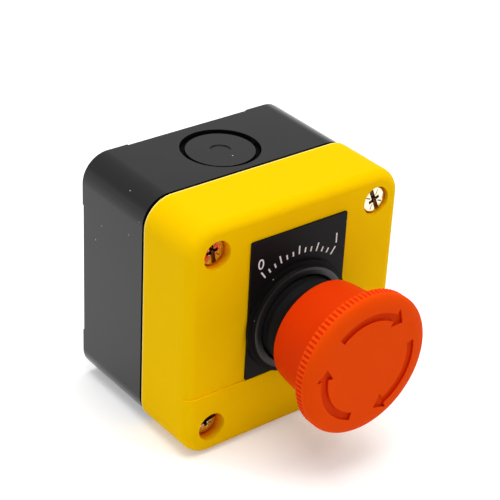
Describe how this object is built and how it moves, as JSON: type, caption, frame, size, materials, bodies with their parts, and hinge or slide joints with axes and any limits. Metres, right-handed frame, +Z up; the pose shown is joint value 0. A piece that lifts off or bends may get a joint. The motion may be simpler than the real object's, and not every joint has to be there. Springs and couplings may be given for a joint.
{
  "type": "emergency stop switch",
  "caption": "Wall-mounted emergency stop station: square moulded box with a screwed cover, legend plate and a push-to-latch, twist-to-release mushroom button working contact blocks.",
  "frame": {"origin": "centre of the wall-hole pattern on the back mounting plane", "axes": "+X to the right seen from the front, +Y into the wall (the button points along -Y and is pressed along +Y), +Z up"},
  "size_m": [0.068, 0.0786, 0.068],
  "materials": {
    "black_abs": "moulded ABS, satin gloss",
    "yellow_abs": "moulded ABS, satin gloss",
    "red_abs": "moulded ABS, fine matt",
    "black_plate": "anodised black plate, satin",
    "black_nylon": "moulded nylon, satin",
    "grey_nylon": "moulded nylon",
    "red_nylon": "moulded nylon",
    "green_nylon": "moulded nylon",
    "black_rubber": "matt rubber",
    "zinc_steel": "yellow-passivated zinc plating",
    "spring_steel": "drawn spring wire",
    "brass": "stamped brass"
  },
  "bodies": {
    "station": {"base_box": "black_abs", "cover_gasket": "black_rubber", "cover": "yellow_abs", "cover_screws": "zinc_steel", "legend_plate": "black_plate", "panel_gasket": "black_rubber", "bezel": "black_nylon", "lock_nut": "black_nylon", "detent_spring": "spring_steel", "return_spring": "spring_steel", "dust_boot": "black_rubber", "contact_carrier": "grey_nylon", "carrier_screws": "zinc_steel", "block_screws": "zinc_steel", "nc_case": "grey_nylon", "nc_lid": "red_nylon", "nc_fixed_contacts": "brass", "nc_terminal_clamps": "zinc_steel", "nc_terminal_screws": "zinc_steel", "nc_spring": "spring_steel", "no_case": "grey_nylon", "no_lid": "green_nylon", "no_fixed_contacts": "brass", "no_terminal_clamps": "zinc_steel", "no_terminal_screws": "zinc_steel", "no_spring": "spring_steel"},
    "plunger": {"plunger_stem": "black_nylon", "head_snap_ring": "spring_steel", "push_plate": "black_nylon", "push_plate_screw": "zinc_steel", "twist_spring": "spring_steel"},
    "head": {"mushroom_head": "red_abs"},
    "nc_contact": {"nc_plunger": "red_nylon", "nc_bridge": "brass"},
    "no_contact": {"no_plunger": "green_nylon", "no_bridge": "brass"}
  },
  "joints": [
    {"name": "push", "type": "slide", "parent": "station", "child": "plunger", "axis": [0, 1, 0], "range_m": [0, 0.0045], "deforming": ["return_spring", "dust_boot"]},
    {"name": "twist", "type": "hinge", "parent": "plunger", "child": "head", "pos_m": [0, -0.06, 0], "axis": [0, 1, 0], "range_deg": [0, 40], "stiffness_Nm_per_rad": 0.05, "deforming": ["twist_spring"]},
    {"name": "nc_push", "type": "slide", "parent": "station", "child": "nc_contact", "axis": [0, 1, 0], "range_m": [0, 0.0045], "deforming": ["nc_spring"]},
    {"name": "no_push", "type": "slide", "parent": "station", "child": "no_contact", "axis": [0, 1, 0], "range_m": [0, 0.0045], "deforming": ["no_spring"]}
  ],
  "couplings": [
    {"joint": "nc_push", "follows": "push", "ratio": 1},
    {"joint": "no_push", "follows": "push", "ratio": 1}
  ]
}
